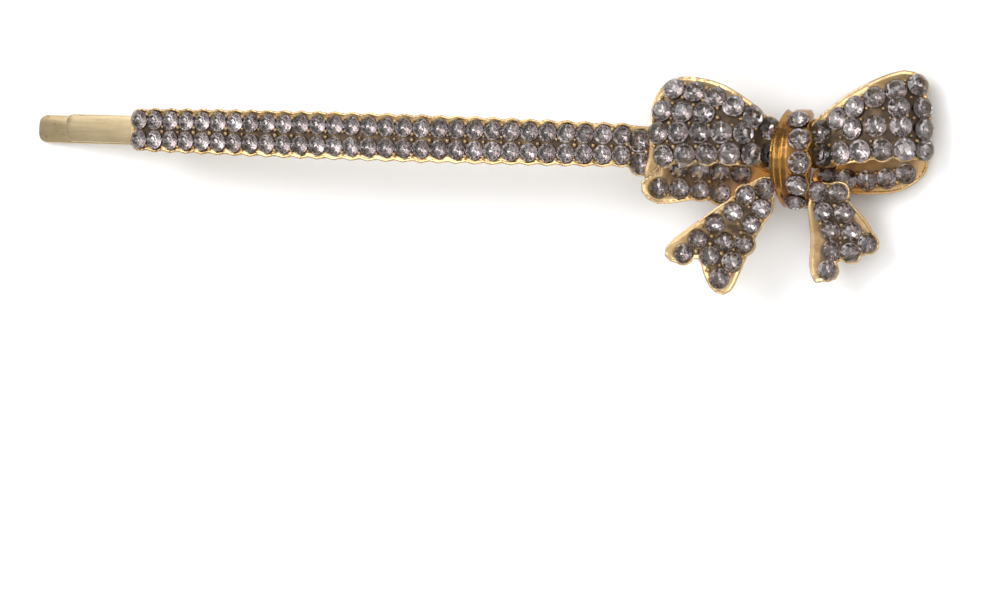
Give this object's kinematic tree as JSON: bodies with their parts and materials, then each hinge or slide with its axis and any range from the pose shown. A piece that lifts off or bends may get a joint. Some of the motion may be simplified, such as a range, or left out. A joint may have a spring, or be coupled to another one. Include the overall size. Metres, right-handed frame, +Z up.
{
  "type": "rhinestone hair clip",
  "caption": "Slim arched hair clip with a paved stone bar, a raised bow at one end and a sprung flat prong beneath that grips the hair.",
  "frame": {"origin": "centre of the footprint of the clip's bounding box, on the surface the closed clip lies on", "axes": "+X along the clip towards the bow, +Y across the clip away from the bow's tails, +Z up, the way the stones face"},
  "size_m": [0.0868, 0.0198, 0.0093],
  "materials": {
    "casting": "polished pale gold plating over a zinc-alloy casting",
    "pin": "pale gold plating over spring steel strip",
    "solder": "plated soft solder",
    "rhinestone": "faceted clear glass with a mirrored foil back"
  },
  "bodies": {
    "clip": {"bar_tray": "casting", "left_loop_outer": "casting", "left_loop_inner": "casting", "right_loop_outer": "casting", "right_loop_inner": "casting", "left_tail": "casting", "right_tail": "casting", "knot_band": "casting", "pin_upper_arm": "pin", "pin_fold": "pin", "solder_pad_1": "solder", "solder_pad_2": "solder", "solder_pad_3": "solder", "bar_stone_row_1": "rhinestone", "bar_stone_row_2": "rhinestone", "left_loop_outer_stone_row_1": "rhinestone", "left_loop_outer_stone_row_2": "rhinestone", "left_loop_outer_stone_row_3": "rhinestone", "left_loop_outer_stone_row_4": "rhinestone", "right_loop_outer_stone_row_1": "rhinestone", "right_loop_outer_stone_row_2": "rhinestone", "right_loop_outer_stone_row_3": "rhinestone", "right_loop_outer_stone_row_4": "rhinestone", "left_loop_inner_stone_row_1": "rhinestone", "left_loop_inner_stone_row_2": "rhinestone", "right_loop_inner_stone_row_1": "rhinestone", "junction_stone_1": "rhinestone", "junction_stone_2": "rhinestone", "left_tail_stone_1": "rhinestone", "left_tail_stone_2": "rhinestone", "left_tail_stone_3": "rhinestone", "left_tail_stone_4": "rhinestone", "left_tail_stone_5": "rhinestone", "left_tail_stone_6": "rhinestone", "left_tail_stone_7": "rhinestone", "left_tail_stone_8": "rhinestone", "left_tail_stone_9": "rhinestone", "left_tail_stone_10": "rhinestone", "left_tail_stone_11": "rhinestone", "left_tail_stone_12": "rhinestone", "left_tail_stone_13": "rhinestone", "right_tail_stone_1": "rhinestone", "right_tail_stone_2": "rhinestone", "right_tail_stone_3": "rhinestone", "right_tail_stone_4": "rhinestone", "right_tail_stone_5": "rhinestone", "right_tail_stone_6": "rhinestone", "right_tail_stone_7": "rhinestone", "right_tail_stone_8": "rhinestone", "right_tail_stone_9": "rhinestone", "right_tail_stone_10": "rhinestone", "knot_stone_1": "rhinestone", "knot_stone_2": "rhinestone", "knot_stone_3": "rhinestone", "knot_stone_4": "rhinestone", "knot_stone_5": "rhinestone"},
    "prong": {"pin_lower_prong": "pin"}
  },
  "joints": [
    {"name": "prong_spring", "type": "hinge", "parent": "clip", "child": "prong", "pos_m": [0.02508, 0.00268, 0.0031], "axis": [0, -1, 0], "range_deg": [0, 8], "stiffness_Nm_per_rad": 0.4, "springref_deg": -4.58}
  ]
}
